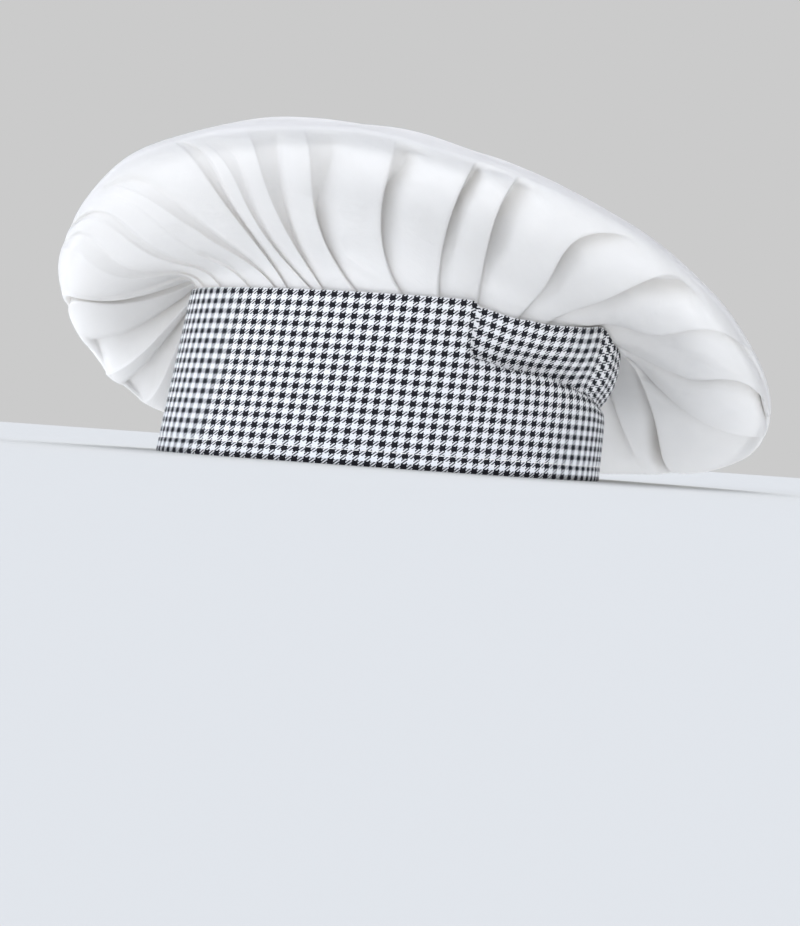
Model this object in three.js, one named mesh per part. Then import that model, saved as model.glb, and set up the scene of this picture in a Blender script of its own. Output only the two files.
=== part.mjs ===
// Chef hat: a houndstooth head band that carries a floppy crown of white cotton, gathered in knife pleats.
// Millimetres, +Z up. The hat's front faces -Y, the wearer's left faces +X, and the band stands on Z = 0.
// Angles are degrees around a vertical axis, from the front towards the wearer's left.
import * as THREE from 'three';

// The whole hat's place: the band's centre, from the middle of the whole hat's box
const BAND_CENTRE = new THREE.Vector3(15, -18, 0);

// Head band: a ring for a head 58 cm around with the hair, slightly narrower in front
const BAND_HALF_LENGTH = 103;
const BAND_HALF_WIDTH = 70;
const BAND_EGG = 0.06;
const BAND_HEIGHT = 75;
const BAND_BACK_SLUMP = 13;
const BAND_WALL = 2;
const BAND_LEAN_SIDE = -4;
const BAND_LEAN_FRONT = -7;
const BAND_COLUMNS = 96;
const BAND_LEVELS = [0, 0.3, 0.48, 0.6, 0.7, 0.8, 0.9, 1];

// Buckle in the back of the band: cloth above the crease bulges out under the crown's weight
const CREASE = [
  { angle: 100, height: 60, bulge: 0 },
  { angle: 116, height: 53, bulge: 3 },
  { angle: 130, height: 52, bulge: 5 },
  { angle: 143, height: 46, bulge: 6 },
  { angle: 160, height: 38, bulge: 7 },
  { angle: 180, height: 34, bulge: 6 },
  { angle: 205, height: 38, bulge: 4 },
  { angle: 230, height: 48, bulge: 0 },
];
const CREASE_DENT = 2.5;
const CREASE_RISE = 14;

// Crown: the rim around its own centre. It stands up over the wearer's left and flops down over the right.
const CROWN_WALL = 1.6;
const CROWN_CENTRE = new THREE.Vector3(-11.7, 14.2, 0);
const CROWN_TOP = new THREE.Vector3(-12, 12, 139);
const TOP_SPREAD = 0.42;
const TOP_FALL_BACK = 0.3;
const TOP_FALL_RIGHT = 0.18;
// Each row gives the rim's distance and height, and how round it is towards the side and towards the top
const RIM_STEP = 30;
const RIM = [
  { angle: 0, reach: 166, height: 70, roll: 22, puff: 30 },
  { angle: 30, reach: 162, height: 115, roll: 14, puff: 22 },
  { angle: 60, reach: 141, height: 130, roll: 11, puff: 14 },
  { angle: 90, reach: 135, height: 119, roll: 10, puff: 14 },
  { angle: 120, reach: 149, height: 94, roll: 11, puff: 16 },
  { angle: 150, reach: 160, height: 58, roll: 12, puff: 20 },
  { angle: 180, reach: 172, height: 21, roll: 12, puff: 26 },
  { angle: 210, reach: 172, height: 5, roll: 12, puff: 30 },
  { angle: 240, reach: 153, height: 5, roll: 12, puff: 32 },
  { angle: 270, reach: 140, height: 8, roll: 12, puff: 32 },
  { angle: 300, reach: 140, height: 14, roll: 12, puff: 32 },
  { angle: 330, reach: 151, height: 28, roll: 16, puff: 32 },
];
const SEAM_TUCK = 6;
const SEAM_GAP = 0.4;
const SEAM_RISE = 0.8;
const WALL_START_UP = 22;
const WALL_START_OUT = 8;

// Knife pleats: where each one leaves the seam and where it meets the rim, and its depth
const SHOWN_PLEATS = [
  { seam: 16, rim: 8, depth: 8 },
  { seam: 30, rim: 13.5, depth: 8 },
  { seam: 42, rim: 24, depth: 6 },
  { seam: 53.5, rim: 38.5, depth: 6 },
  { seam: 65, rim: 50, depth: 6 },
  { seam: 74.5, rim: 59, depth: 7 },
  { seam: 85.5, rim: 74, depth: 8 },
  { seam: 95.5, rim: 89.5, depth: 8 },
  { seam: 106, rim: 98, depth: 8 },
  { seam: 117, rim: 120, depth: 10 },
  { seam: 130, rim: 132, depth: 10 },
  { seam: 144, rim: 152, depth: 9 },
  { seam: 160, rim: 167, depth: 9 },
  { seam: 175, rim: 181, depth: 10 },
];
const PLAIN_PLEATS = 17;
const PLAIN_PLEAT_DEPTH = 8;
const PLEAT_SEAM_DEPTH = 3;
const PLEAT_DEEPEST_AT = 0.45;

// Places along a crown section: 0 is the seam, 1 is the rim, 2 is the middle of the top
const CROWN_LEVELS = [0.1, 0.22, 0.36, 0.5, 0.64, 0.77, 0.89, 1, 1.05, 1.12, 1.22, 1.36, 1.54, 1.76];
// Places across a pleat: from just past the fold before it to its own fold, where it stands proud
const PLEAT_COLUMNS = [
  { across: 0, proud: 0 },
  { across: 0.3, proud: 0.35 },
  { across: 0.62, proud: 0.8 },
  { across: 0.9, proud: 1 },
];

const CROWN_MATERIAL = new THREE.MeshStandardMaterial({ color: 0xf3f4f6, roughness: 0.9, metalness: 0 });
const BAND_MATERIAL = new THREE.MeshStandardMaterial({ color: 0x8c8d93, roughness: 0.85, metalness: 0 });

const UP = new THREE.Vector3(0, 0, 1);

function headingOf(angle) {
  const radians = THREE.MathUtils.degToRad(angle);
  return new THREE.Vector3(Math.sin(radians), -Math.cos(radians), 0);
}

function catmull(a, b, c, d, f) {
  const slope = c - a;
  const bend = 2 * a - 5 * b + 4 * c - d;
  const twist = 3 * b - 3 * c + d - a;
  return 0.5 * (2 * b + slope * f + bend * f * f + twist * f * f * f);
}

// A column of a table whose rows are evenly spaced around the hat, smooth all the way round
function roundColumn(rows, column, angle) {
  const place = THREE.MathUtils.euclideanModulo(angle, 360) / RIM_STEP;
  const row = Math.floor(place);
  const value = (offset) => rows[(row + offset + rows.length) % rows.length][column];
  return catmull(value(-1), value(0), value(1), value(2), place - row);
}

// A column of a table that covers part of the way round, held at its ends
function partColumn(rows, column, angle) {
  const next = rows.findIndex((row) => row.angle > angle);
  if (next === 0) {
    return rows[0][column];
  }
  if (next < 0) {
    return rows[rows.length - 1][column];
  }
  const before = rows[next - 1];
  const share = (angle - before.angle) / (rows[next].angle - before.angle);
  return THREE.MathUtils.lerp(before[column], rows[next][column], THREE.MathUtils.smoothstep(share, 0, 1));
}

function bandTop(angle) {
  const slump = BAND_BACK_SLUMP * Math.exp(-(((angle - 185) / 24) ** 2));
  return BAND_HEIGHT - slump;
}

// How far the buckle pushes the band out at an angle and height
function buckle(angle, height) {
  const bulge = partColumn(CREASE, 'bulge', angle);
  const above = height - partColumn(CREASE, 'height', angle);
  const share = bulge / 7;
  const swell = THREE.MathUtils.smoothstep(above, 0, CREASE_RISE) * bulge;
  const dent = CREASE_DENT * share * Math.exp(-((above / 7) ** 2));
  return swell - dent;
}

// A point of the band's outer face, or of a face that lies inset from it
function bandPoint(angle, height, inset) {
  const radians = THREE.MathUtils.degToRad(angle);
  const sine = Math.sin(radians);
  const cosine = Math.cos(radians);
  const outward = new THREE.Vector3(sine / BAND_HALF_WIDTH, -cosine / BAND_HALF_LENGTH, 0).normalize();
  const lean = (BAND_LEAN_SIDE + BAND_LEAN_FRONT * cosine) * (height / BAND_HEIGHT);
  const point = new THREE.Vector3(
    BAND_HALF_WIDTH * sine * (1 - BAND_EGG * cosine),
    -BAND_HALF_LENGTH * cosine,
    height,
  );
  return point.addScaledVector(outward, lean + buckle(angle, height) - inset);
}

// One closed ring of points of the band
function bandRing(level, inset) {
  return Array.from({ length: BAND_COLUMNS }, (_, column) => {
    const angle = (360 * column) / BAND_COLUMNS;
    return bandPoint(angle, level * bandTop(angle), inset);
  });
}

function rimPoint(angle) {
  const reach = roundColumn(RIM, 'reach', angle);
  const point = CROWN_CENTRE.clone().addScaledVector(headingOf(angle), reach);
  point.z = roundColumn(RIM, 'height', angle);
  return point;
}

// Where the crown leaves the band: inside its top edge, by the band's wall and a small gap
function seamPoint(angle, drop) {
  const top = bandTop(angle);
  const point = bandPoint(angle, top - Math.max(drop, 0), BAND_WALL + SEAM_GAP);
  point.z = top - drop;
  return point;
}

// The shown pleats come from the table, and the rest share what is left of the way round
function allPleats() {
  const last = SHOWN_PLEATS[SHOWN_PLEATS.length - 1];
  const parts = PLAIN_PLEATS + 1;
  const plain = Array.from({ length: PLAIN_PLEATS }, (_, k) => {
    const share = (k + 1) / parts;
    return {
      seam: last.seam + share * (SHOWN_PLEATS[0].seam + 360 - last.seam),
      rim: last.rim + share * (SHOWN_PLEATS[0].rim + 360 - last.rim),
      depth: PLAIN_PLEAT_DEPTH,
    };
  });
  return [...SHOWN_PLEATS, ...plain];
}

// The direction in which the cloth passes the rim, square to a line from inside the crown
function rimTangent(seam, rim) {
  const core = seam.clone().add(CROWN_TOP).multiplyScalar(0.5);
  const spoke = rim.clone().sub(core);
  const rise = spoke.z;
  const run = spoke.setZ(0).length();
  return UP.clone().multiplyScalar(run).addScaledVector(spoke.normalize(), -rise).normalize();
}

// A smooth point of the crown before it is pleated, for a place along its section
function crownPoint(seamAngle, rimAngle, place) {
  const seam = seamPoint(seamAngle, -SEAM_RISE);
  const rim = rimPoint(rimAngle);
  const along = rimTangent(seam, rim);
  if (place <= 1) {
    const outward = rim.clone().sub(seam).setZ(0).normalize();
    const roll = roundColumn(RIM, 'roll', rimAngle);
    const start = seam.clone().addScaledVector(UP, WALL_START_UP).addScaledVector(outward, WALL_START_OUT);
    const end = rim.clone().addScaledVector(along, -roll);
    return new THREE.CubicBezierCurve3(seam, start, end, rim).getPoint(place);
  }
  const puff = roundColumn(RIM, 'puff', rimAngle);
  const start = rim.clone().addScaledVector(along, puff);
  const end = CROWN_TOP.clone().lerp(rim, TOP_SPREAD);
  end.z = CROWN_TOP.z - TOP_FALL_BACK * (end.y - CROWN_TOP.y) + TOP_FALL_RIGHT * (end.x - CROWN_TOP.x);
  return new THREE.CubicBezierCurve3(rim, start, end, CROWN_TOP).getPoint(place - 1);
}

function crownNormal(seamAngle, rimAngle, place) {
  const step = 0.02;
  const turn = 1;
  const low = Math.max(place - step, 0);
  const high = Math.min(place + step, 1.98);
  const along = crownPoint(seamAngle, rimAngle, high).sub(crownPoint(seamAngle, rimAngle, low));
  const around = crownPoint(seamAngle + turn, rimAngle + turn, place);
  around.sub(crownPoint(seamAngle - turn, rimAngle - turn, place));
  return around.cross(along).normalize();
}

// How deep a pleat is at a place: shallow in the seam, deepest part way up, and gone at the rim
function pleatDepth(pleat, place) {
  if (place >= 1) {
    return 0;
  }
  const rise = THREE.MathUtils.smoothstep(place, 0, PLEAT_DEEPEST_AT);
  const fade = 1 - THREE.MathUtils.smoothstep(place, PLEAT_DEEPEST_AT, 1);
  return THREE.MathUtils.lerp(PLEAT_SEAM_DEPTH, pleat.depth, rise) * fade;
}

// One closed ring of the crown at a place along its section, or inside the band where tucked is true
function crownRing(pleats, place, inset, tucked) {
  const ring = [];
  pleats.forEach((pleat, index) => {
    const before = pleats[(index + pleats.length - 1) % pleats.length];
    const wrap = index === 0 ? -360 : 0;
    PLEAT_COLUMNS.forEach(({ across, proud }) => {
      const seamAngle = THREE.MathUtils.lerp(before.seam + wrap, pleat.seam, across);
      const rimAngle = THREE.MathUtils.lerp(before.rim + wrap, pleat.rim, across);
      const sink = pleatDepth(pleat, place) * (1 - proud) + inset;
      if (tucked) {
        const outward = seamPoint(seamAngle, SEAM_TUCK).sub(CROWN_CENTRE).setZ(0).normalize();
        ring.push(seamPoint(seamAngle, SEAM_TUCK).addScaledVector(outward, -sink));
      } else {
        const normal = crownNormal(seamAngle, rimAngle, place);
        ring.push(crownPoint(seamAngle, rimAngle, place).addScaledVector(normal, -sink));
      }
    });
  });
  return ring;
}

// A closed solid through rings of equal length. Two poles close its ends, or else the last ring joins the first.
function solidOfRings(rings, poles) {
  const columns = rings[0].length;
  const positions = rings.flat().flatMap((point) => point.toArray());
  const faces = [];
  const joins = poles ? rings.length - 1 : rings.length;
  for (let row = 0; row < joins; row += 1) {
    const here = row * columns;
    const there = ((row + 1) % rings.length) * columns;
    for (let column = 0; column < columns; column += 1) {
      const next = (column + 1) % columns;
      faces.push(here + column, here + next, there + next);
      faces.push(here + column, there + next, there + column);
    }
  }
  if (poles) {
    const first = positions.length / 3;
    positions.push(...poles[0].toArray(), ...poles[1].toArray());
    const end = (rings.length - 1) * columns;
    for (let column = 0; column < columns; column += 1) {
      const next = (column + 1) % columns;
      faces.push(first, next, column);
      faces.push(first + 1, end + column, end + next);
    }
  }
  const geometry = new THREE.BufferGeometry();
  geometry.setAttribute('position', new THREE.Float32BufferAttribute(positions, 3));
  geometry.setIndex(faces);
  geometry.computeVertexNormals();
  return geometry;
}

function makeBand() {
  const outer = BAND_LEVELS.map((level) => bandRing(level, 0));
  const inner = BAND_LEVELS.map((level) => bandRing(level, BAND_WALL)).reverse();
  const band = new THREE.Mesh(solidOfRings([...outer, ...inner]), BAND_MATERIAL);
  band.name = 'band';
  return band;
}

function makeCrown() {
  const pleats = allPleats();
  const side = (inset) => [
    crownRing(pleats, 0, inset, true),
    crownRing(pleats, 0, inset, false),
    ...CROWN_LEVELS.map((place) => crownRing(pleats, place, inset, false)),
  ];
  const inner = side(CROWN_WALL).reverse();
  const innerPole = CROWN_TOP.clone().addScaledVector(UP, -CROWN_WALL);
  const geometry = solidOfRings([...inner, ...side(0)], [innerPole, CROWN_TOP]);
  const crown = new THREE.Mesh(geometry, CROWN_MATERIAL);
  crown.name = 'crown';
  return crown;
}

const hat = new THREE.Group();
hat.add(makeBand(), makeCrown());
hat.position.copy(BAND_CENTRE);

export default hat;
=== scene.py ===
"""Looks of a chef hat: a floppy crown of white cotton, pleated into a houndstooth head band.

Sizes are in millimetres from the middle of the head band's foot, and MM turns them into metres.
Angles are degrees round a vertical axis, from the hat's front towards the wearer's left.
"""

import bpy
import numpy as np
from mathutils import Matrix, Vector


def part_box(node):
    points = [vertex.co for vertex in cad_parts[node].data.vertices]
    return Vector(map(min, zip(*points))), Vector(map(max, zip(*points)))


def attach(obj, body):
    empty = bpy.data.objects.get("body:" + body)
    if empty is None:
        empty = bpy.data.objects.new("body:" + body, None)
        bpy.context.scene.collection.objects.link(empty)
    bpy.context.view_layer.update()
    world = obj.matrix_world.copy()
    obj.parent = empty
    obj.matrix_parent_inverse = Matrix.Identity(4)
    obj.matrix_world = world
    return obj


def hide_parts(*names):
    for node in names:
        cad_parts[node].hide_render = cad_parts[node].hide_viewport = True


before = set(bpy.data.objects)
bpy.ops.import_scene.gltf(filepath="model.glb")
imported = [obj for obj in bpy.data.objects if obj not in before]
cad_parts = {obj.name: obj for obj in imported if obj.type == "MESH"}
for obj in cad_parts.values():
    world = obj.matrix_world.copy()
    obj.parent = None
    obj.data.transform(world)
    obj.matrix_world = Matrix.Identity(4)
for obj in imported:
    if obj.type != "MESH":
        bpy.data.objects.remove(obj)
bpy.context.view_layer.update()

MM = 0.001
UP = np.array([0.0, 0.0, 1.0])


def table(columns, rows):
    """A short table with named columns."""
    return {name: np.array(values, float) for name, values in zip(columns.split(), zip(*rows))}


# Head band: its ring at the foot, its wall, and how far it leans in from foot to top
BAND_HALF_LENGTH = 103
BAND_HALF_WIDTH = 70
BAND_EGG = 0.06
BAND_HEIGHT = 75
BAND_WALL = 1.6
BAND_LEAN_SIDE = -4
BAND_LEAN_FRONT = -7
# Columns round the band, steps up it for its heights, and the angles between which its top edge is kept
BAND_COLUMNS = 420
BAND_FINE_STEPS = 300
BAND_TOP_FROM = -180
BAND_TOP_TO = 540

# The buckle in the back of the band: a crease at a height along the cloth, its depth, how far above it the
# cloth is still sunk, how far the cloth over it stands out, and how much height the cloth loses in it
BUCKLE = table(
    "angle height depth above bulge press",
    [
        (96, 60, 0.0, 15, 0, 0),
        (103, 57, 0.2, 15, 0, 0),
        (107, 54, 6.0, 13, 0, 0),
        (118, 52, 9.0, 12, 0.5, 0),
        (128, 51, 10.0, 12, 1.0, 0),
        (138, 47, 9.0, 12, 1.5, 0),
        (149, 43, 5.0, 14, 2, 3),
        (160, 41, 4.5, 14, 3, 10),
        (172, 40, 4.0, 14, 4, 14),
        (190, 40, 4.0, 14, 4, 14),
        (215, 45, 3.0, 12, 1, 5),
        (238, 50, 0.0, 12, 0, 0),
    ],
)
# How far below the crease the cloth is sunk, how far round it the height is lost, and over what height the
# cloth comes to stand out
CREASE_BELOW = 4.0
PRESS_REACH = 13.0
BULGE_RISE = 28.0

# Crown: the rim around its own centre, how round the cloth is towards the side and towards the top,
# and how far it first rises and leads outward from the seam
CROWN_CENTRE = np.array([-11.7, 14.2, 0.0])
CROWN_TOP = np.array([-12.0, 12.0, 139.0])
CROWN_CLOTH = 0.5
# How flat the top lies round its middle, and how steeply it falls to the back and to the wearer's right
TOP_SPREAD = 0.42
TOP_FALL_BACK = 0.3
TOP_FALL_RIGHT = 0.18
# The rim, one row for each step of degrees round the hat
RIM_STEP = 30
RIM = table(
    "angle reach height roll puff rise lead",
    [
        (0, 166, 76, 22, 14, 22, 8),
        (30, 160, 122, 16, 10, 22, 8),
        (60, 133, 136, 16, 6, 22, 8),
        (90, 134, 125, 16, 6, 22, 8),
        (120, 146, 100, 14, 9, 18, 10),
        (150, 160, 59, 12, 15, 6, 14),
        (180, 172, 21, 12, 26, 3, 16),
        (210, 172, 5, 12, 30, 6, 16),
        (240, 153, 5, 12, 32, 6, 16),
        (270, 140, 8, 12, 32, 8, 16),
        (300, 140, 14, 12, 32, 12, 14),
        (330, 151, 28, 16, 23, 18, 10),
    ],
)
# How deep the crown's edge is tucked into the band, its gap from the wall, and its rise over the band
SEAM_TUCK = 6
SEAM_GAP = 0.4
SEAM_RISE = 0.4

# Shown pleats: the angles at which a fold leaves the seam and meets the rim, how far it sways between them,
# how deep it is, how much of the pleat lies tucked behind it at the seam and at the rim, and where it ends
SHOWN_PLEATS = table(
    "seam rim sway_low sway_high depth tuck open end",
    [
        (-28.8, -34.4, 0.5, -2.7, 6, 0.3, -0.5, 1.04),
        (-21.6, -24.1, -13.4, 6.1, 7, 0.2, -0.5, 1.05),
        (-14.0, -10.5, -26.0, 25.3, 4.5, 0.0, -0.5, 1.06),
        (-4.0, -4.1, -21.2, 11.4, 1.2, 0.0, -0.4, 1.02),
        (14.8, 6.5, -27.9, 14.9, 2.0, 0.0, -0.4, 1.05),
        (28.0, 10.5, -14.2, 22.2, 1.8, 0.0, -0.3, 1.06),
        (42.0, 14.5, -12.0, 22.0, 1.2, 0.0, -0.4, 0.35),
        (51.5, 18.8, -8.4, 21.5, 3, 0.1, -0.4, 0.93),
        (55.5, 37.0, -5.6, 7.5, 2.5, 0.2, -0.4, 1.00),
        (62.5, 39.5, -11.4, 13.4, 1.8, 0.2, -0.4, 0.95),
        (66.0, 48.6, -8.1, 4.3, 4, 0.2, -0.5, 0.98),
        (74.9, 57.4, -11.3, 5.0, 5, 0.6, -0.4, 0.98),
        (86.6, 73.9, -10.1, 1.1, 7, 0.8, -0.15, 0.97),
        (95.8, 88.2, -2.7, -2.7, 8, 0.8, -0.15, 0.99),
        (106.3, 95.7, -1.2, -4.0, 8, 0.8, -0.15, 1.00),
        (118.2, 118.9, 4.2, -21.6, 8, 0.8, -0.15, 0.93),
        (127.1, 128.9, 8.1, -12.1, 10, 0.8, -0.4, 0.93),
        (142.5, 147.4, 14.9, -24.1, 4, 0.8, -0.1, 1.03),
        (160.0, 167.5, 27.0, -35.0, 10, 0.8, -0.2, 1.04),
        (165.0, 174.3, 31.5, -5.6, 6, 0.8, -0.2, 1.02),
        (173.0, 202.4, -10.0, 11.4, 16, 0.8, -0.3, 1.00),
        (188.0, 209.0, 8.8, 2.6, 6, 0.8, -0.3, 0.72),
    ],
)

# Plain pleats for the side that doesn't show, and how far each of their values strays
PLAIN_PLEATS = 10
PLAIN_DEPTH = 8
PLAIN_TUCK = 0.8
PLAIN_OPEN = -0.3
PLAIN_END = 0.98
PLAIN_STRAYS = {
    "seam": 1,
    "rim": 2,
    "sway_low": 2,
    "sway_high": 2,
    "depth": 1.5,
    "tuck": 0.1,
    "open": 0.1,
    "end": 0.06,
}
PLEAT_SEED = 5
SWAY_EASE = 3

# How deep the valleys are at the seam, the place by which they have their full depth, the share of the
# pleat's length over which it stays, and the place by which the cloth tucked behind a fold has come open
SEAM_STACK = 1.6
DEPTH_GROWN = 0.45
DEPTH_HELD = 0.82
OPENED = 0.8

# The cloth's way across one pleat, from the valley behind the fold before it, over its panel and round its
# own fold into its own valley. proud is 1 on the panel and 0 in a valley.
PLEAT_PROFILE = table(
    "across before after proud",
    [
        (0.00, 1.00, 0.00, 0.00),
        (0.06, 0.40, 0.00, 0.12),
        (0.16, 0.00, 0.00, 0.42),
        (0.32, 0.00, 0.00, 0.76),
        (0.55, 0.00, 0.00, 0.94),
        (0.82, 0.00, 0.00, 1.00),
        (0.97, 0.00, 0.00, 1.00),
        (1.00, 0.00, 0.00, 0.90),
        (0.99, 0.00, 0.20, 0.66),
        (0.98, 0.00, 0.60, 0.26),
    ],
)

# The profile's way on beyond its rows: in the valley before it, and in its own
PROFILE_BEFORE = (0.0, 0.6, 0.0, 0.26)
PROFILE_VALLEY = (1.0, 0.0, 1.0, 0.0)
PROFILE_AFTER = (1.06, 0.0, 0.4, 0.10)

# Secondary creases: where each starts and ends, its width and its depth, which is below 0 for a bulge
CREASES = table(
    "turn_a place_a turn_b place_b width depth",
    [
        (22.5, 0.93, 26.0, 0.84, 3, 1.6),
        (7.0, 0.88, 9.5, 0.78, 3, 1.0),
        (58.0, 0.19, 72.0, 0.07, 4, -1.4),
        (75.5, 0.96, 81.0, 0.88, 3, 1.2),
        (88.5, 0.97, 95.0, 0.98, 2.5, 1.4),
        (103.5, 0.68, 108.5, 0.88, 2.5, 0.9),
        (119.0, 0.90, 121.0, 0.78, 4, 1.3),
        (129.0, 0.92, 137.0, 0.79, 3.5, 1.8),
        (24.0, 0.55, 20.5, 0.42, 4, 0.9),
        (61.0, 0.80, 63.5, 0.45, 8, 0.7),
        (152.0, 0.85, 151.0, 0.55, 6, -1.2),
    ],
)

# About how long one degree and one place are on the cloth, and how much of a crease's depth its ends have
TURN_LENGTH = 2.3
PLACE_LENGTH = 85
CREASE_END_DEPTH = 0.25

# Soft waves all over the cloth: how many, how high, how much higher on the top, the shortest and longest,
# and the places between which they start, grow towards the top and settle before its middle
WAVES = 16
WAVE_HEIGHT = 0.16
WAVE_GAIN_TOP = 1.8
WAVE_LENGTHS = (38, 130)
WAVE_START = (0, 0.3)
WAVE_GROW = (1.2, 1.6)
WAVE_SETTLE = (1.8, 1.98)
WAVE_SEED = 11

# Fineness of the crown's mesh: columns across each pleat, and rows up the wall, over the top and in the
# tuck. From the rim to the place EVEN_FROM the columns come to lie evenly round the top.
SHOWN_SAMPLES = 21
PLAIN_SAMPLES = 13
WALL_ROWS = 54
WALL_CROWDING = 1.2
TOP_ROWS = 18
TOP_CROWDING = 1.5
EVEN_FROM = 1.35
TUCK_ROWS = 2
# How far apart the points are that give the cloth's direction, and how near they come to the top's middle
NORMAL_STEP = 0.02
NORMAL_TURN = 1.0
NORMAL_LAST = 1.98

# Band's cloth and the line of stitches above its foot
BAND_FACE_ROWS = 60
LIP_ROWS = 4
BAND_SEAM_ANGLE = 183
STITCH_HEIGHT = 6.75
STITCH_GROOVE = 1.2
STITCH_DEPTH = 0.25
STITCH_ROWS = 7
STITCHES = 190
STITCH_SHARE = 0.8
STITCH_STEPS = 7
STITCH_SIDES = 6
STITCH_RADIUS = 0.2
STITCH_ARCH = 1.2
STITCH_DIP = 0.3

# Cloth: colours, the threads' widths in metres, the relief they give, the shade painted at the houndstooth
# threads' edges, and the spots and soft wrinkles
COTTON_LIGHT = (0.95, 0.913, 0.855, 1)
COTTON_SHADE = (0.935, 0.897, 0.837, 1)
COTTON_THROUGH = (0.95, 0.86, 0.74, 1)
COTTON_THIN = 0.2
COTTON_THREAD = 0.0004
COTTON_RELIEF = 0.0001
COTTON_WRINKLE = 0.0006
COTTON_SLUBS = {"Scale": 900.0, "Detail": 3.0}
COTTON_SOFT = {"Scale": 45.0, "Detail": 4.0, "Roughness": 0.6}
COTTON_TONE_LOW = 0.3
COTTON_TONE_HIGH = 0.7
COTTON_FINISH = {
    "Roughness": 0.92,
    "Specular IOR Level": 0.2,
    "Sheen Weight": 0.25,
    "Sheen Roughness": 0.5,
}
HOUND_DARK = (0.012, 0.011, 0.014, 1)
HOUND_LIGHT = (0.86, 0.84, 0.81, 1)
WARP_THREAD = 0.0004367
WEFT_THREAD = 0.000375
THREADS_IN_ROW = 6
TWILL_START = 2
TWILL_OVER = 2
WARP_SKEW = 0.09
YARN_VARIATION = 0.3
# How much darker the houndstooth threads are painted towards their edges: painted shade of their round yarn
YARN_EDGE_PAINTED_SHADE = 0.25
HOUND_RELIEF = 0.00012
HOUND_WRINKLE = 0.0004
HOUND_YARN = {"Scale": 1500.0, "Detail": 2.0}
HOUND_SOFT = {"Scale": 60.0, "Detail": 3.0}
HOUND_FINISH = {
    "Roughness": 0.85,
    "Specular IOR Level": 0.15,
    "Sheen Weight": 0.04,
    "Sheen Roughness": 0.5,
}
THREAD_ROUNDNESS = 0.7
MATT_FINISH = {"Roughness": 1.0, "Specular IOR Level": 0.0}

# Studio: the camera's turn from square to the hat's side, its lift, its roll and what it aims at
CAMERA_TURN = 10
CAMERA_LIFT = 0.4
CAMERA_ROLL = 4.05
CAMERA_AIM_RIGHT = 9.4
CAMERA_AIM_UP = 2.1
CAMERA_DISTANCE = 900
CAMERA_LENS = 75.65
CAMERA_SENSOR = 36
CAMERA_NEAR = 0.002
STUDIO_GREY = (0.597, 0.597, 0.597, 1)
STUDIO_LIGHT = (0.76, 0.82, 0.965, 1)
FLOOR_COLOUR = (0.6, 0.59, 0.555, 1)
FLOOR_SIZE = 60
LAMP_COLOUR = (0.79, 0.865, 1.0)
RIM_LAMP_COLOUR = (0.92, 0.93, 0.95)

# Each light's strength, spread, side, height and colour
LIGHTS = {
    "key_light": (1.0, 30, 30, 12, LAMP_COLOUR),
    "front_light": (1.05, 40, 76, 2, LAMP_COLOUR),
    "top_light": (0.15, 60, 90, 65, LAMP_COLOUR),
    "rim_light": (1.35, 60, 270, 80, RIM_LAMP_COLOUR),
}

# The table's glow all round the hat, and once more before it: size, distance before its middle, strength
GLOW_HEIGHT = 0.0015
GLOWS = {
    "table_glow": (1.4, 0.45, 0.85),
    "front_glow": (0.4, 0.34, 0.6),
}

band_low, band_high = (np.array(corner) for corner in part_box("band"))
HAT_CENTRE = np.array([(band_low[0] + band_high[0]) / 2, band_low[1] + BAND_HALF_LENGTH * MM, band_low[2]])


def heading(angle):
    """The level direction of an angle."""
    turn = np.radians(angle)
    return np.stack([np.sin(turn), -np.cos(turn), 0 * turn], -1)


def unit(vector):
    return vector / np.linalg.norm(vector, axis=-1, keepdims=True)


def mix(a, b, share):
    return a + (b - a) * share


def smooth(value, low, high):
    """0 below low, 1 above high, and an even S between them."""
    share = np.clip((value - low) / (high - low), 0, 1)
    return share * share * (3 - 2 * share)


def catmull(a, b, c, d, share):
    bend = 2 * a - 5 * b + 4 * c - d
    twist = 3 * b - 3 * c + d - a
    return 0.5 * (2 * b + (c - a) * share + bend * share**2 + twist * share**3)


def bezier(a, b, c, d, share):
    rest = 1 - share
    return a * rest**3 + 3 * b * share * rest**2 + 3 * c * share**2 * rest + d * share**3


def round_column(rows, column, angle):
    """A column of a table whose rows are evenly spaced round the hat."""
    values = rows[column]
    place = np.mod(angle, 360) / RIM_STEP
    row = np.floor(place).astype(int)
    near = [values[(row + offset) % len(values)] for offset in (-1, 0, 1, 2)]
    return catmull(*near, place - row)


def part_column(rows, column, angle):
    """A column of a table that covers part of the way round, eased from row to row and held at its ends."""
    angles, values = rows["angle"], rows[column]
    row = np.clip(np.searchsorted(angles, angle) - 1, 0, len(angles) - 2)
    share = smooth(angle, angles[row], angles[row + 1])
    return mix(values[row], values[row + 1], share)


# Head band's shape
def band_offset(angle, cloth):
    """How far the band's outer face stands from its plain ring, at a height along the cloth."""
    lean = (BAND_LEAN_SIDE + BAND_LEAN_FRONT * np.cos(np.radians(angle))) * cloth / BAND_HEIGHT
    above = cloth - part_column(BUCKLE, "height", angle)
    width = np.where(above < 0, CREASE_BELOW, part_column(BUCKLE, "above", angle))
    dent = part_column(BUCKLE, "depth", angle) / (1 + (above / width) ** 2)
    swell = part_column(BUCKLE, "bulge", angle) * smooth(above, 0, BULGE_RISE)
    return lean - dent + swell


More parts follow.
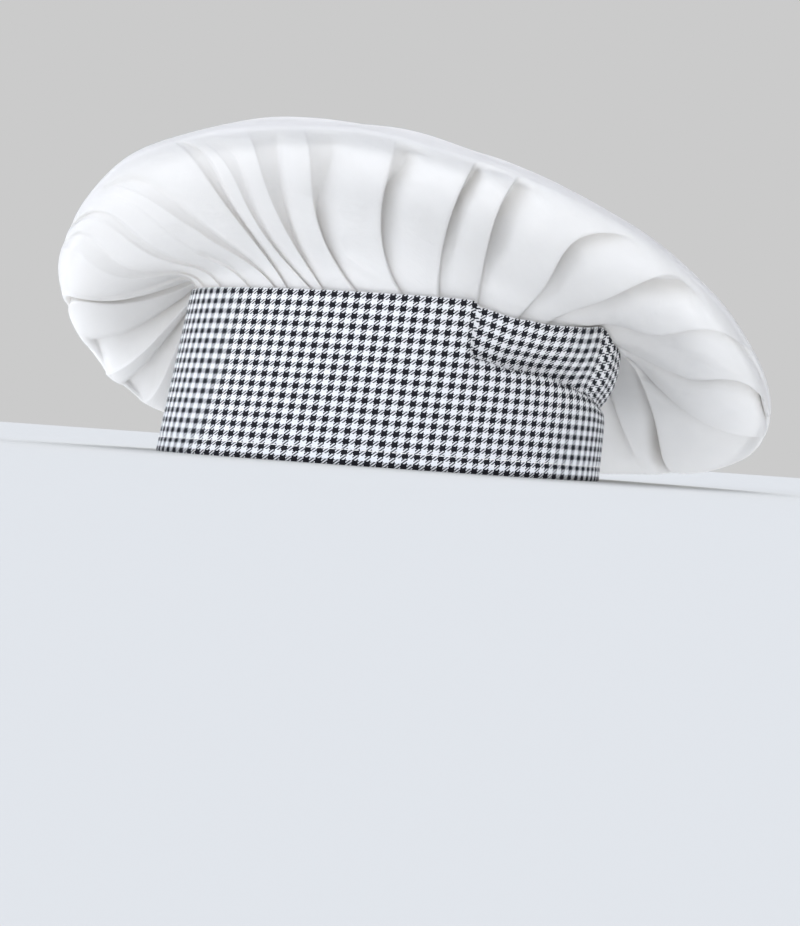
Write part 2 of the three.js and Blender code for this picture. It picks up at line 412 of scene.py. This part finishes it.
def band_heights(angle, cloth):
    """The height above the foot of each place along the cloth, which the buckle takes some of.
    angle is a row, and cloth is a column that starts at the foot."""
    fine = np.linspace(0, BAND_HEIGHT, BAND_FINE_STEPS + 1)[:, None]
    offset = band_offset(angle[None, :], fine)
    rise = np.sqrt(np.clip(np.diff(fine, axis=0) ** 2 - np.diff(offset, axis=0) ** 2, 0, None))
    pressed = np.exp(-(((fine[1:] - part_column(BUCKLE, "height", angle)) / PRESS_REACH) ** 2))
    rise = np.clip(rise - pressed / pressed.sum(0) * part_column(BUCKLE, "press", angle), 0, None)
    height = np.vstack([np.zeros((1, len(angle))), np.cumsum(rise, axis=0)])
    return np.stack([np.interp(cloth[:, 0], fine[:, 0], column) for column in height.T], -1)


def band_ring(angle):
    """The outer ring at the foot and its outward direction."""
    turn = np.radians(angle)
    x = BAND_HALF_WIDTH * np.sin(turn) * (1 - BAND_EGG * np.cos(turn))
    y = -BAND_HALF_LENGTH * np.cos(turn)
    out_x = np.sin(turn) / BAND_HALF_WIDTH
    out_y = -np.cos(turn) / BAND_HALF_LENGTH
    outward = unit(np.stack([out_x, out_y, 0 * turn], -1))
    return np.stack([x, y, 0 * turn], -1), outward


def band_tops():
    """The band's top edge, a degree at a time over two turns: its angles, heights and offsets."""
    angle = np.arange(float(BAND_TOP_FROM), float(BAND_TOP_TO + 1))
    cloth = np.array([[0.0], [float(BAND_HEIGHT)]])
    height = band_heights(np.mod(angle, 360), cloth)[1]
    offset = band_offset(np.mod(angle, 360), float(BAND_HEIGHT))
    return angle, height, offset


TOP_ANGLE, TOP_HEIGHT, TOP_OFFSET = band_tops()


def seam_point(angle, drop):
    """Where the crown's cloth lies inside the band's top edge, drop below it."""
    ring, outward = band_ring(angle)
    top = np.interp(angle, TOP_ANGLE, TOP_HEIGHT)
    offset = np.interp(angle, TOP_ANGLE, TOP_OFFSET)
    return ring + outward * (offset - BAND_WALL - SEAM_GAP)[..., None] + UP * (top - drop)[..., None]


# Crown's shape
def rim_point(angle):
    reach = round_column(RIM, "reach", angle)
    height = round_column(RIM, "height", angle)
    return CROWN_CENTRE + heading(angle) * reach[..., None] + UP * height[..., None]


def rim_tangent(seam, rim):
    """The direction in which the cloth passes the rim, square to a line from inside the crown."""
    spoke = rim - (seam + CROWN_TOP) / 2
    rise = spoke[..., 2:].copy()
    spoke[..., 2] = 0
    run = np.linalg.norm(spoke, axis=-1, keepdims=True)
    return unit(UP * run - spoke / run * rise)


def crown_point(seam_angle, rim_angle, place):
    """A point of the crown before it is pleated.
    place is 0 at the seam, 1 at the rim and 2 in the top's middle."""
    seam_angle, rim_angle, place = np.broadcast_arrays(seam_angle, rim_angle, place)
    seam = seam_point(seam_angle, -SEAM_RISE + 0 * seam_angle)
    rim = rim_point(rim_angle)
    along = rim_tangent(seam_point(rim_angle, -SEAM_RISE + 0 * rim_angle), rim)
    roll = round_column(RIM, "roll", rim_angle)[..., None]
    puff = round_column(RIM, "puff", rim_angle)[..., None]
    outward = rim - seam
    outward[..., 2] = 0
    rise = round_column(RIM, "rise", rim_angle)[..., None]
    lead = round_column(RIM, "lead", rim_angle)[..., None]
    wall_start = seam + UP * rise + unit(outward) * lead
    top_end = mix(CROWN_TOP, rim, TOP_SPREAD)
    from_top = top_end - CROWN_TOP
    slope = TOP_FALL_RIGHT * from_top[..., 0] - TOP_FALL_BACK * from_top[..., 1]
    top_end[..., 2] = CROWN_TOP[2] + slope
    share = place[..., None]
    wall = bezier(seam, wall_start, rim - along * roll, rim, np.clip(share, 0, 1))
    top = bezier(rim, rim + along * puff, top_end, CROWN_TOP, np.clip(share - 1, 0, 1))
    return np.where(share <= 1, wall, top)


def crown_normal(seam_angle, rim_angle, place):
    """The outward direction of the crown before it is pleated."""
    low = np.maximum(place - NORMAL_STEP, 0)
    high = np.minimum(place + NORMAL_STEP, NORMAL_LAST)
    along = crown_point(seam_angle, rim_angle, high) - crown_point(seam_angle, rim_angle, low)
    ahead = crown_point(seam_angle + NORMAL_TURN, rim_angle + NORMAL_TURN, place)
    behind = crown_point(seam_angle - NORMAL_TURN, rim_angle - NORMAL_TURN, place)
    return unit(np.cross(ahead - behind, along))


def sway(low, high, place):
    """How far a fold has swayed round the hat at a place, from its two sways."""
    share = np.clip(place, 0, 1)
    return 3 * low * share * (1 - share) ** 2 + 3 * high * share**2 * (1 - share)


# Meshes
def ring_faces(rows, columns, closed):
    """Faces between the rings of a grid. closed joins the last ring to the first as well."""
    steps = rows if closed else rows - 1
    row, column = np.meshgrid(np.arange(steps), np.arange(columns), indexing="ij")
    next_row = (row + 1) % rows
    next_column = (column + 1) % columns
    corners = [(row, column), (row, next_column), (next_row, next_column), (next_row, column)]
    return np.stack([r * columns + c for r, c in corners], -1).reshape(-1, 4)


def grid_normals(points):
    """Outward normals of a grid of rings that starts at the lower ring."""
    around = np.roll(points, -1, 1) - np.roll(points, 1, 1)
    along = np.empty_like(points)
    along[1:-1] = points[2:] - points[:-2]
    along[0] = points[1] - points[0]
    along[-1] = points[-1] - points[-2]
    return unit(np.cross(around, along))


def add_piece(name, points, faces, uv, material):
    """A smooth mesh object from points in millimetres.
    uv has a place on the cut cloth for each face corner."""
    mesh = bpy.data.meshes.new(name)
    mesh.from_pydata((points * MM + HAT_CENTRE).tolist(), [], [face.tolist() for face in faces])
    mesh.uv_layers.new(name="cloth").data.foreach_set("uv", uv.ravel())
    mesh.shade_smooth()
    mesh.materials.append(material)
    piece = bpy.data.objects.new(name, mesh)
    bpy.context.scene.collection.objects.link(piece)
    return piece


# Crown's pleats
def all_pleats():
    """The shown pleats, and the plain ones that go on from the last of them to the first."""
    random = np.random.default_rng(PLEAT_SEED)
    share = (np.arange(PLAIN_PLEATS) + 1) / (PLAIN_PLEATS + 1)
    first = {name: values[0] for name, values in SHOWN_PLEATS.items()}
    last = {name: values[-1] for name, values in SHOWN_PLEATS.items()}

    def eased(name):
        return last[name] * (1 - share) ** SWAY_EASE + first[name] * share**SWAY_EASE

    plain = {
        "seam": mix(last["seam"], first["seam"] + 360, share),
        "rim": mix(last["rim"], first["rim"] + 360, share),
        "sway_low": eased("sway_low"),
        "sway_high": eased("sway_high"),
        "depth": PLAIN_DEPTH,
        "tuck": PLAIN_TUCK,
        "open": PLAIN_OPEN,
        "end": PLAIN_END,
    }
    pleats = {}
    for name, stray in PLAIN_STRAYS.items():
        strayed = plain[name] + stray * random.uniform(-1, 1, PLAIN_PLEATS)
        pleats[name] = np.concatenate([SHOWN_PLEATS[name], strayed])
    return pleats


def sampled_profile(count):
    """The cloth's way across one pleat, in count samples along a smooth curve through its profile."""
    rows = np.stack(list(PLEAT_PROFILE.values()), -1)
    rows = np.vstack([PROFILE_BEFORE, rows, PROFILE_VALLEY, PROFILE_AFTER])
    along = np.arange(count) / count * (len(rows) - 3)
    row = np.floor(along).astype(int)
    share = (along - row)[:, None]
    return catmull(rows[row], rows[row + 1], rows[row + 2], rows[row + 3], share)


def pleat_depth(pleats, place):
    """How deep each pleat's valley is at each place, a row for each place."""
    grown = mix(SEAM_STACK, pleats["depth"], smooth(place, 0, DEPTH_GROWN))
    held = DEPTH_HELD * pleats["end"]
    past = np.clip((place - held) / (pleats["end"] - held), 0, 1)
    return grown * np.cos(np.pi / 2 * past)


def crown_columns(pleats, places):
    """The seam angle, the rim angle and the depth in a valley, for each place and column."""
    place = places[:, None]
    turned = sway(pleats["sway_low"], pleats["sway_high"], place)
    depth = pleat_depth(pleats, place)
    overlap = mix(pleats["tuck"], pleats["open"], smooth(place, 0, OPENED))
    folds = []
    for name in ("seam", "rim"):
        own = pleats[name] + turned
        panel = own - np.hstack([own[:, -1:] - 360, own[:, :-1]])
        next_panel = np.roll(panel, -1, 1)
        folds.append((own, panel, overlap * np.minimum(panel, next_panel)))
    grids = []
    for index in range(len(pleats["seam"])):
        shown = index < len(SHOWN_PLEATS["seam"])
        across, before, after, proud = sampled_profile(SHOWN_SAMPLES if shown else PLAIN_SAMPLES).T
        turns = []
        for own, panel, tucked in folds:
            behind, ahead = tucked[:, index - 1, None], tucked[:, index, None]
            fold = own[:, index, None] - (1 - across) * panel[:, index, None]
            turns.append(fold - np.where(behind > 0, before, 1 - across) * behind - after * ahead)
        sunk = (1 - proud) * mix(depth[:, index - 1, None], depth[:, index, None], np.clip(across, 0, 1))
        grids.append([*turns, sunk])
    return [np.concatenate(parts, 1) for parts in zip(*grids)]


def crease_depth(turn, place):
    """How far the secondary creases sink the cloth at a turn and place."""
    sunk = 0 * turn
    for turn_a, place_a, turn_b, place_b, width, depth in zip(*CREASES.values()):
        run = np.array([(turn_b - turn_a) * TURN_LENGTH, (place_b - place_a) * PLACE_LENGTH])
        side = (np.mod(turn - turn_a + 180, 360) - 180) * TURN_LENGTH
        up = (place - place_a) * PLACE_LENGTH
        share = (side * run[0] + up * run[1]) / (run @ run)
        share_on = np.clip(share, 0, 1)
        away = np.hypot(side - share_on * run[0], up - share_on * run[1])
        middle = np.clip(1 - (2 * share_on - 1) ** 2, CREASE_END_DEPTH, 1)
        sunk = sunk + depth * middle * np.exp(-((away / width) ** 2))
    return sunk


def wave_height(points, place):
    """Soft waves that no one fold explains, all over the cloth but at its seam and its middle."""
    random = np.random.default_rng(WAVE_SEED)
    height = 0 * place
    for _ in range(WAVES):
        direction = unit(random.normal(size=3))
        length = random.uniform(*WAVE_LENGTHS)
        phase = random.uniform(0, 2 * np.pi)
        height = height + WAVE_HEIGHT * np.sin(points @ direction * 2 * np.pi / length + phase)
    on_top = 1 + WAVE_GAIN_TOP * smooth(place, *WAVE_GROW)
    return height * on_top * smooth(place, *WAVE_START) * (1 - smooth(place, *WAVE_SETTLE))


def evened(angle, place):
    """The columns' rim angles, which come to lie evenly round the top beyond the rim."""
    columns = angle.shape[1]
    even = np.arange(columns) * 360 / columns
    even = even + (angle[-1] - even).mean()
    return mix(angle, even, smooth(place, 1, EVEN_FROM))


def crown_grid():
    """The crown's outer face in rings of points, from its tucked edge to beside the top's middle."""
    pleats = all_pleats()
    wall = np.linspace(0, 1, WALL_ROWS + 1) ** WALL_CROWDING
    top = 1 + np.linspace(0, 1, TOP_ROWS + 1)[1:-1] ** TOP_CROWDING
    places = np.concatenate([wall, top])
    seam_angle, rim_angle, sunk = crown_columns(pleats, places)
    place = places[:, None] + 0 * seam_angle
    rim_angle = evened(rim_angle, place)
    smooth_points = crown_point(seam_angle, rim_angle, place)
    sunk = sunk + crease_depth(rim_angle, place) + wave_height(smooth_points, place)
    points = smooth_points - crown_normal(seam_angle, rim_angle, place) * sunk[..., None]
    drops = np.linspace(SEAM_TUCK, 0, TUCK_ROWS, endpoint=False)
    _, outward = band_ring(seam_angle[0])
    tucked = [seam_point(seam_angle[0], drop) - outward * sunk[0][:, None] for drop in drops]
    return np.vstack([np.stack(tucked), points])


def flat_disc(points):
    """Where the crown's points lay on the flat circle of cloth. Its middle is the top's middle."""
    to_middle = np.concatenate([points, np.broadcast_to(CROWN_TOP, points[:1].shape)])
    steps = np.linalg.norm(np.diff(to_middle, axis=0), axis=-1).mean(1)
    reach = np.cumsum(steps[::-1])[::-1, None]
    arcs = np.linalg.norm(np.roll(points, -1, 1) - points, axis=-1)
    turn = 2 * np.pi * (np.cumsum(arcs, axis=1) - arcs) / arcs.sum(1, keepdims=True)
    return np.stack([reach * np.cos(turn), reach * np.sin(turn)], -1) * MM


def make_crown(material):
    outer = crown_grid()
    inner = outer - grid_normals(outer) * CROWN_CLOTH
    rows, columns = outer.shape[:2]
    disc = flat_disc(outer)
    shell = np.vstack([outer[::-1], inner])
    cloth = np.vstack([disc[::-1], disc])
    faces = ring_faces(2 * rows, columns, closed=False)
    top = CROWN_TOP - UP * CROWN_CLOTH
    points = np.vstack([shell.reshape(-1, 3), CROWN_TOP, top])
    places = np.vstack([cloth.reshape(-1, 2), [0, 0], [0, 0]])
    column = np.arange(columns)
    following = (column + 1) % columns
    last = (2 * rows - 1) * columns
    outer_cap = np.stack([following, column, 0 * column + len(points) - 2], -1)
    inner_cap = np.stack([last + column, last + following, 0 * column + len(points) - 1], -1)
    all_faces = [*faces, *outer_cap, *inner_cap]
    uv = places[np.concatenate(all_faces)]
    return add_piece("crown_cloth", points, all_faces, uv, material)


# Band
def band_rows():
    """The way round the band's wall, from the foot up the outer face and down the inner one.
    It gives heights along the cloth, and how far inside the outer face each lies."""
    lip = BAND_WALL / 2
    face = np.linspace(lip, BAND_HEIGHT - lip, BAND_FACE_ROWS)
    stitched = STITCH_HEIGHT + np.linspace(-STITCH_GROOVE, STITCH_GROOVE, STITCH_ROWS)
    face = np.sort(np.concatenate([face, stitched]))
    turn = np.linspace(0, np.pi, LIP_ROWS + 2)[1:-1]
    top = BAND_HEIGHT - lip + lip * np.sin(turn)
    foot = lip - lip * np.sin(turn)
    across = lip - lip * np.cos(turn)
    heights = np.concatenate([face, top, face[::-1], foot])
    inside = np.concatenate([0 * face, across, 0 * face + BAND_WALL, across[::-1]])
    return heights[:, None], inside[:, None]


def make_band(material):
    cloth, inside = band_rows()
    angle = BAND_SEAM_ANGLE + np.arange(BAND_COLUMNS) * 360 / BAND_COLUMNS
    turned = np.mod(angle, 360)
    ring, outward = band_ring(angle)
    groove = STITCH_DEPTH * (1 - smooth(np.abs(cloth - STITCH_HEIGHT), 0, STITCH_GROOVE))
    pulled = np.where(inside == 0, -groove, np.where(inside == BAND_WALL, groove, 0))
    offset = band_offset(turned[None, :], cloth) - inside + pulled
    order = np.argsort(cloth[:, 0], kind="stable")
    height = np.empty_like(offset)
    height[order] = band_heights(turned, cloth[order])
    points = ring[None] + outward[None] * offset[..., None] + UP * height[..., None]
    faces = ring_faces(len(cloth), BAND_COLUMNS, closed=True)
    steps = np.linalg.norm(np.roll(ring, -1, 0) - ring, axis=-1)
    arc = np.concatenate([[0], np.cumsum(steps)])
    row, column = faces // BAND_COLUMNS, faces % BAND_COLUMNS
    wrapped = (column == 0) & (column[:, :1] == BAND_COLUMNS - 1)
    along = arc[np.where(wrapped, BAND_COLUMNS, column)]
    uv = np.stack([along, cloth[row, 0]], -1) * MM
    return add_piece("band_cloth", points.reshape(-1, 3), faces, uv, material)


def make_stitches(material):
    """The stitches above the band's foot: short round threads whose ends dip into the cloth."""
    turns = np.arange(STITCHES) * 360 / STITCHES
    span = 360 / STITCHES * STITCH_SHARE
    way = np.linspace(-0.5, 0.5, STITCH_STEPS)
    section = np.arange(STITCH_SIDES) * 2 * np.pi / STITCH_SIDES
    angle = turns[:, None] + way * span
    ring, outward = band_ring(angle)
    cloth = np.full((1, 1), float(STITCH_HEIGHT))
    offset = band_offset(np.mod(angle, 360), STITCH_HEIGHT) - STITCH_DEPTH
    from_foot = np.vstack([[[0.0]], cloth])
    height = np.stack([band_heights(np.mod(row, 360), from_foot)[1] for row in angle])
    arch = STITCH_RADIUS * (STITCH_ARCH * np.cos(np.pi * way) - STITCH_DIP)
    centre = ring + outward * (offset + arch)[..., None] + UP * height[..., None]
    ring_side = outward[:, :, None] * np.cos(section)[:, None] + UP * np.sin(section)[:, None]
    points = centre[:, :, None] + ring_side * STITCH_RADIUS
    faces = []
    for stitch in range(STITCHES):
        first = stitch * STITCH_STEPS * STITCH_SIDES
        faces += (ring_faces(STITCH_STEPS, STITCH_SIDES, closed=False) + first).tolist()
        faces.append(list(range(first, first + STITCH_SIDES))[::-1])
        end = first + (STITCH_STEPS - 1) * STITCH_SIDES
        faces.append(list(range(end, end + STITCH_SIDES)))
    faces = [np.array(face) for face in faces]
    uv = np.zeros((sum(len(face) for face in faces), 2))
    return add_piece("hem_stitches", points.reshape(-1, 3), faces, uv, material)


# Materials
class Shader:
    """Adds shader nodes to a new material and joins them."""

    def __init__(self, name):
        self.material = bpy.data.materials.new(name)
        self.material.use_nodes = True
        self.tree = self.material.node_tree
        self.output = self.tree.nodes["Material Output"]
        self.surface = self.tree.nodes["Principled BSDF"]

    def node(self, kind, **inputs):
        """A node whose inputs are set, or joined where the value is another node's output."""
        made = self.tree.nodes.new("ShaderNode" + kind)
        for name, value in inputs.items():
            self.set(made.inputs[name.replace("_", " ")], value)
        return made

    def set(self, socket, value):
        if isinstance(value, bpy.types.NodeSocket):
            self.tree.links.new(value, socket)
        else:
            socket.default_value = value

    def math(self, operation, *values):
        made = self.tree.nodes.new("ShaderNodeMath")
        made.operation = operation
        for socket, value in zip(made.inputs, values):
            self.set(socket, value)
        return made.outputs[0]

    def cloth_place(self):
        """The two places on the cut cloth, in metres."""
        apart = self.node("SeparateXYZ", Vector=self.node("UVMap").outputs[0])
        return apart.outputs[0], apart.outputs[1]

    def thread_round(self, count):
        """1 at the middle of each thread and 0 at its edges, from a count of threads."""
        wave = self.math("SINE", self.math("MULTIPLY", self.math("FRACT", count), np.pi))
        return self.math("POWER", wave, THREAD_ROUNDNESS)

    def noise(self, place, settings):
        """Soft random spots from 0 to 1."""
        return self.node("TexNoise", Vector=place, **settings).outputs["Fac"]

    def dress(self, colour, finish, normal=None):
        """Gives the surface its colour, its finish and, where there is one, its relief."""
        self.set(self.surface.inputs["Base Color"], colour)
        for name, value in finish.items():
            self.set(self.surface.inputs[name], value)
        if normal:
            self.set(self.surface.inputs["Normal"], normal)

    def bump(self, height, distance, below=None):
        made = self.node("Bump", Height=height, Distance=distance)
        if below:
            self.set(made.inputs["Normal"], below)
        return made.outputs[0]


def white_cotton():
    """Fine plain woven cotton that lets a little warm light through."""
    shader = Shader("white_cotton")
    across, along = shader.cloth_place()
    warp = shader.math("DIVIDE", across, COTTON_THREAD)
    weft = shader.math("DIVIDE", along, COTTON_THREAD)
    crossing = shader.math("ADD", shader.math("FLOOR", warp), shader.math("FLOOR", weft))
    over = shader.math("PINGPONG", crossing, 1.0)
    warp_part = shader.math("MULTIPLY", shader.thread_round(warp), over)
    weft_part = shader.math("MULTIPLY", shader.thread_round(weft), shader.math("SUBTRACT", 1.0, over))
    weave = shader.math("ADD", warp_part, weft_part)
    cloth = shader.node("UVMap").outputs[0]
    slubs = shader.noise(cloth, COTTON_SLUBS)
    soft = shader.noise(cloth, COTTON_SOFT)
    tone_range = {"From_Min": COTTON_TONE_LOW, "From_Max": COTTON_TONE_HIGH}
    tone = shader.node("MapRange", Value=soft, **tone_range).outputs[0]
    colour = shader.node("MixRGB", Fac=tone, Color1=COTTON_LIGHT, Color2=COTTON_SHADE).outputs[0]
    fine = shader.bump(weave, COTTON_RELIEF)
    fine = shader.bump(slubs, COTTON_RELIEF, fine)
    soft_bump = shader.bump(soft, COTTON_WRINKLE, fine)
    shader.dress(colour, COTTON_FINISH, soft_bump)
    through = shader.node("BsdfTranslucent", Color=COTTON_THROUGH, Normal=soft_bump).outputs[0]
    both = shader.node("MixShader", Fac=COTTON_THIN)
    shader.set(both.inputs[1], shader.surface.outputs[0])
    shader.set(both.inputs[2], through)
    shader.set(shader.output.inputs["Surface"], both.outputs[0])
    return shader.material


def houndstooth_cotton():
    """Houndstooth: threads in sixes, dark and light, woven two over and two under along a diagonal."""
    shader = Shader("houndstooth_cotton")
    around, up = shader.cloth_place()
    skewed = shader.math("SUBTRACT", around, shader.math("MULTIPLY", up, WARP_SKEW))
    warp = shader.math("DIVIDE", skewed, WARP_THREAD)
    weft = shader.math("DIVIDE", up, WEFT_THREAD)
    warp_count = shader.math("FLOOR", warp)
    weft_count = shader.math("FLOOR", weft)

    def in_two(count, half):
        """0 for the first half of each repeat and 1 for the second."""
        in_repeat = shader.math("FLOORED_MODULO", count, 2 * half)
        return shader.math("FLOOR", shader.math("DIVIDE", in_repeat, half))

    diagonal = shader.math("ADD", shader.math("SUBTRACT", warp_count, weft_count), TWILL_START)
    weft_over = in_two(diagonal, TWILL_OVER)
    warp_light = in_two(warp_count, THREADS_IN_ROW)
    weft_light = in_two(weft_count, THREADS_IN_ROW)
    light = shader.node("Mix", Factor=weft_over, A=warp_light, B=weft_light).outputs[0]
    warp_round = shader.thread_round(warp)
    weft_round = shader.thread_round(weft)
    weave = shader.node("Mix", Factor=weft_over, A=warp_round, B=weft_round).outputs[0]
    cloth = shader.node("UVMap").outputs[0]
    yarn = shader.noise(cloth, HOUND_YARN)
    soft = shader.noise(cloth, HOUND_SOFT)
    # The colour is scaled by the yarn's random tone and by painted shade that darkens each thread towards
    # its edges
    shade = shader.math("MULTIPLY_ADD", yarn, YARN_VARIATION, 1.0 - YARN_VARIATION / 2)
    shade = shader.math("MULTIPLY", shade, shader.math("MULTIPLY_ADD", weave, YARN_EDGE_PAINTED_SHADE, 1.0 - YARN_EDGE_PAINTED_SHADE))
    plain = shader.node("MixRGB", Fac=light, Color1=HOUND_DARK, Color2=HOUND_LIGHT).outputs[0]
    colour = shader.node("VectorMath", Vector=plain)
    colour.operation = "SCALE"
    shader.set(colour.inputs["Scale"], shade)
    fine = shader.bump(weave, HOUND_RELIEF)
    soft_bump = shader.bump(soft, HOUND_WRINKLE, fine)
    shader.dress(colour.outputs[0], HOUND_FINISH, soft_bump)
    return shader.material


def plain_paint(name, colour):
    shader = Shader(name)
    shader.dress(colour, MATT_FINISH)
    return shader.material


# Floor, lights and camera
def make_floor():
    bpy.ops.mesh.primitive_plane_add(size=FLOOR_SIZE, location=HAT_CENTRE)
    floor = bpy.context.object
    floor.name = "floor"
    floor.data.materials.append(plain_paint("pale_floor", FLOOR_COLOUR))


def make_sun(name, strength, spread, side, height, colour):
    """A soft light from far away. side is where round the hat it comes from, and height its angle up."""
    light = bpy.data.lights.new(name, "SUN")
    light.energy = strength
    light.angle = np.radians(spread)
    light.color = colour
    sun = bpy.data.objects.new(name, light)
    rise = np.radians(height)
    towards = Vector(heading(side) * np.cos(rise) + UP * np.sin(rise))
    sun.rotation_euler = towards.to_track_quat("Z", "Y").to_euler()
    bpy.context.scene.collection.objects.link(sun)


def make_glow(name, size, ahead, strength):
    """Light that rises from the table, as from a light table."""
    light = bpy.data.lights.new(name, "AREA")
    light.shape = "SQUARE"
    light.size = size
    light.color = LAMP_COLOUR
    light.energy = strength * np.pi * size**2
    glow = bpy.data.objects.new(name, light)
    glow.location = HAT_CENTRE + UP * GLOW_HEIGHT + heading(0) * ahead
    glow.rotation_euler = (np.pi, 0, 0)
    glow.visible_camera = False
    bpy.context.scene.collection.objects.link(glow)


def make_camera():
    turn, lift, roll = np.radians([CAMERA_TURN, CAMERA_LIFT, CAMERA_ROLL])
    right = np.array([np.sin(turn), np.cos(turn), 0])
    away = np.array([-np.cos(turn), np.sin(turn), 0])
    aim = right * CAMERA_AIM_RIGHT + UP * CAMERA_AIM_UP
    back = UP * np.sin(lift) - away * np.cos(lift)
    up = np.cross(back, right)
    rolled_right = right * np.cos(roll) + up * np.sin(roll)
    rolled_up = up * np.cos(roll) - right * np.sin(roll)
    camera = bpy.data.cameras.new("camera")
    camera.lens = CAMERA_LENS
    camera.sensor_width = CAMERA_SENSOR
    camera.clip_start = CAMERA_NEAR
    held = bpy.data.objects.new("camera", camera)
    frame_of_view = Matrix(np.stack([rolled_right, rolled_up, back], -1).tolist()).to_4x4()
    held.matrix_world = Matrix.Translation(HAT_CENTRE + (aim + back * CAMERA_DISTANCE) * MM) @ frame_of_view
    bpy.context.scene.collection.objects.link(held)
    bpy.context.scene.camera = held


def make_world():
    """Cool white light from all around, though the camera sees a grey backdrop."""
    world = bpy.data.worlds.new("studio")
    world.use_nodes = True
    tree = world.node_tree
    light = tree.nodes["Background"]
    grey = tree.nodes.new("ShaderNodeBackground")
    shown = tree.nodes.new("ShaderNodeMixShader")
    light.inputs["Color"].default_value = STUDIO_LIGHT
    grey.inputs["Color"].default_value = STUDIO_GREY
    tree.links.new(tree.nodes.new("ShaderNodeLightPath").outputs["Is Camera Ray"], shown.inputs[0])
    tree.links.new(light.outputs[0], shown.inputs[1])
    tree.links.new(grey.outputs[0], shown.inputs[2])
    tree.links.new(shown.outputs[0], tree.nodes["World Output"].inputs["Surface"])
    return world


def make_studio():
    scene = bpy.context.scene
    scene.view_settings.view_transform = "Standard"
    scene.world = make_world()
    make_floor()
    for name, row in LIGHTS.items():
        make_sun(name, *row)
    for name, row in GLOWS.items():
        make_glow(name, *row)
    make_camera()


white = white_cotton()
hounds = houndstooth_cotton()
crown = make_crown(white)
band = make_band(hounds)
stitches = make_stitches(white)
for piece, slot in ((crown, "white_cotton"), (band, "houndstooth_cotton"), (stitches, "white_cotton")):
    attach(piece, "root")
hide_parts("crown")
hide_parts("band")
make_studio()
